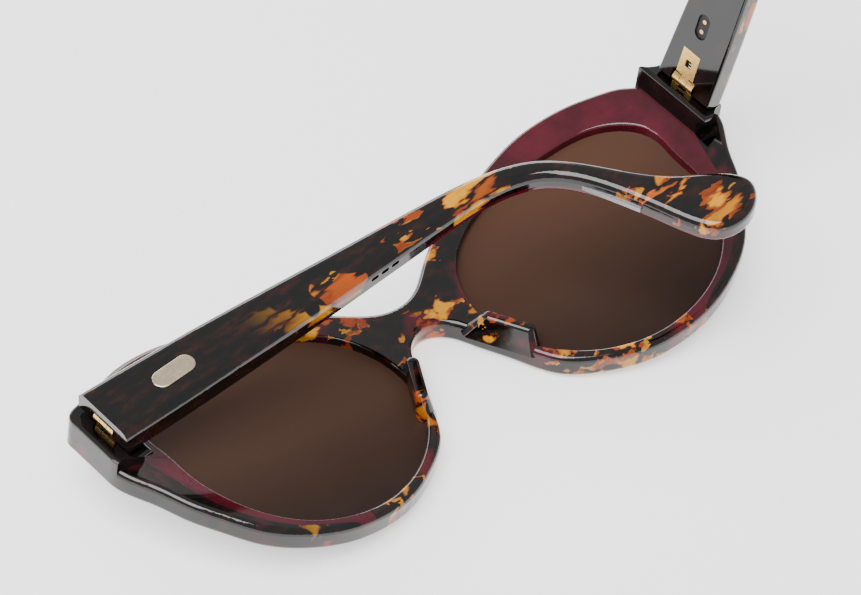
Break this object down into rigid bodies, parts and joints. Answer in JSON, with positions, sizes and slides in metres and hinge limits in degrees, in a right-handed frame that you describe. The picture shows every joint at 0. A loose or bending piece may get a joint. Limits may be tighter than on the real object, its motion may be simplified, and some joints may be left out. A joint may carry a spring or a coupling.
{
  "type": "sunglasses",
  "caption": "Cat-eye acetate sunglasses with an electronics module in each temple, one temple folded over the tinted lenses and the other open.",
  "frame": {"origin": "middle of the back face of the bridge, where the glasses meet the top of the nose", "axes": "+X to the wearer's right, +Y up as worn, +Z back along the open temple; the glasses lie on the front of the frame"},
  "size_m": [0.1624, 0.0563, 0.1363],
  "materials": {
    "tortoise_acetate": "polished dark tortoise acetate with amber flecks",
    "burgundy_acetate": "polished clear burgundy acetate",
    "black_acetate": "polished near-black acetate",
    "lens_brown": "dark brown tinted lens",
    "gold_metal": "polished gold",
    "champagne_metal": "satin champagne gold",
    "steel": "drawn",
    "board": "solder mask",
    "battery_can": "satin",
    "black_plastic": "fine matt"
  },
  "bodies": {
    "left_temple": {"button_switch": "black_plastic", "left_battery": "battery_can", "left_circuit_board": "board", "left_core_wire": "steel", "left_hinge_box": "gold_metal", "left_hinge_slider": "gold_metal", "left_hinge_spring": "steel", "left_microphone": "battery_can", "left_module_cover": "black_acetate", "left_speaker": "black_plastic", "left_temple_arm": "tortoise_acetate", "left_temple_liner": "burgundy_acetate"},
    "right_temple": {"charging_port": "black_plastic", "port_contacts": "gold_metal", "right_battery": "battery_can", "right_circuit_board": "board", "right_core_wire": "steel", "right_hinge_box": "gold_metal", "right_hinge_slider": "gold_metal", "right_hinge_spring": "steel", "right_microphone": "battery_can", "right_module_cover": "black_acetate", "right_speaker": "black_plastic", "right_temple_arm": "tortoise_acetate", "right_temple_liner": "burgundy_acetate"},
    "front": {"front_frame": "tortoise_acetate", "left_brow_laminate": "burgundy_acetate", "left_end_block": "black_acetate", "left_hinge_leaf": "gold_metal", "left_hinge_screw": "gold_metal", "left_lens": "lens_brown", "left_nose_pad": "tortoise_acetate", "right_brow_laminate": "burgundy_acetate", "right_end_block": "black_acetate", "right_hinge_leaf": "gold_metal", "right_hinge_screw": "gold_metal", "right_lens": "lens_brown", "right_nose_pad": "tortoise_acetate"},
    "touch_button": {"touch_button": "champagne_metal"}
  },
  "joints": [
    {"name": "left_hinge", "type": "hinge", "parent": "front", "child": "left_temple", "pos_m": [-0.06855, 0.0014, 0.01592], "axis": [0, 1, 0], "range_deg": [-92.66, 4.5]},
    {"name": "right_hinge", "type": "hinge", "parent": "front", "child": "right_temple", "pos_m": [0.06855, 0.0014, 0.01592], "axis": [0, 1, 0], "range_deg": [-70, 0]},
    {"name": "button_press", "type": "slide", "parent": "left_temple", "child": "touch_button", "axis": [0.1191, 0, -0.9929], "range_m": [0, 0.0003], "stiffness_N_per_m": 600, "springref_m": -0.0004}
  ]
}
